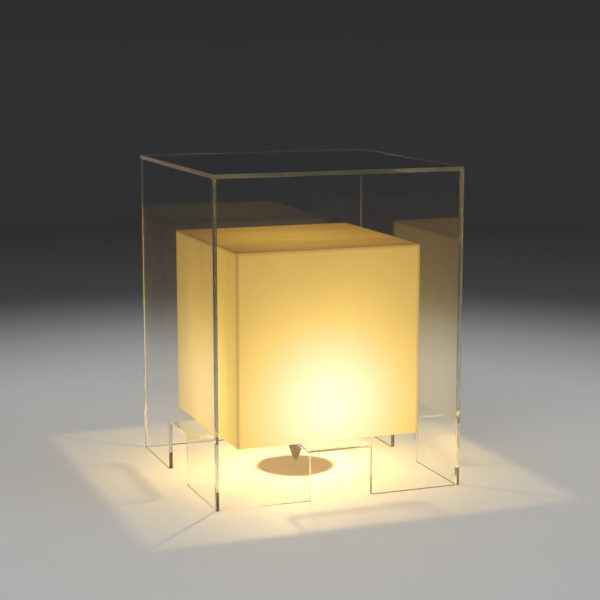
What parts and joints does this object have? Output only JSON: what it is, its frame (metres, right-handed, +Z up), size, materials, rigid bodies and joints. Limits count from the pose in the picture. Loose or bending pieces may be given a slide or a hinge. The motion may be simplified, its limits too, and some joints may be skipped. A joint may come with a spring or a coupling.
{
  "type": "led side table",
  "caption": "Side table: a clear acrylic hood whose wall tongues, bent inwards, carry a glowing opal light box with a pull-out capsule lamp.",
  "frame": {"origin": "on the floor under the middle of the table", "axes": "+Z up, -Y towards the wall with the shown front, +X to its right"},
  "size_m": [0.4, 0.4, 0.5],
  "materials": {
    "clear_acrylic": "clear cast acrylic with polished edges",
    "opal_acrylic": "satin opal acrylic, lit warm white from inside",
    "plated_steel": "bright zinc plating",
    "polished_metal": "spun and polished nickel plate",
    "white_ceramic": "unglazed white ceramic",
    "contact_brass": "bare brass",
    "white_plastic": "moulded white plastic",
    "lead_sleeve": "silicone sleeve",
    "board_white": "white solder mask",
    "chip_phosphor": "yellow phosphor gel, lit",
    "clear_cover": "clear moulded cover"
  },
  "bodies": {
    "hood": {"top_panel": "clear_acrylic", "front_wall": "clear_acrylic", "back_wall": "clear_acrylic", "left_wall": "clear_acrylic", "right_wall": "clear_acrylic"},
    "led_lamp": {"lamp_base": "white_plastic", "lamp_pins": "plated_steel", "led_board": "board_white", "led_chips": "chip_phosphor", "lamp_cover": "clear_cover"},
    "light_box": {"lamp_bar": "clear_acrylic", "diffuser_top": "opal_acrylic", "diffuser_front": "opal_acrylic", "diffuser_back": "opal_acrylic", "diffuser_left": "opal_acrylic", "diffuser_right": "opal_acrylic", "holder_plate": "plated_steel", "strap_bracket": "plated_steel", "clamp_screws": "plated_steel", "clamp_nuts": "plated_steel", "holder_screws": "plated_steel", "block_screw": "plated_steel", "nipple_nuts": "plated_steel", "threaded_nipple": "plated_steel", "grip_screw": "plated_steel", "lamp_cup": "polished_metal", "cord_grip": "polished_metal", "lampholder": "white_ceramic", "holder_contacts": "contact_brass", "terminal_screws": "contact_brass", "terminal_block": "white_plastic", "lamp_leads": "lead_sleeve"}
  },
  "joints": [
    {"name": "light_box_lift", "type": "slide", "parent": "hood", "child": "light_box", "axis": [0, 0, 1], "range_m": [0, 0.115]},
    {"name": "lamp_pull", "type": "slide", "parent": "light_box", "child": "led_lamp", "axis": [0, 0, 1], "range_m": [0, 0.018]}
  ]
}
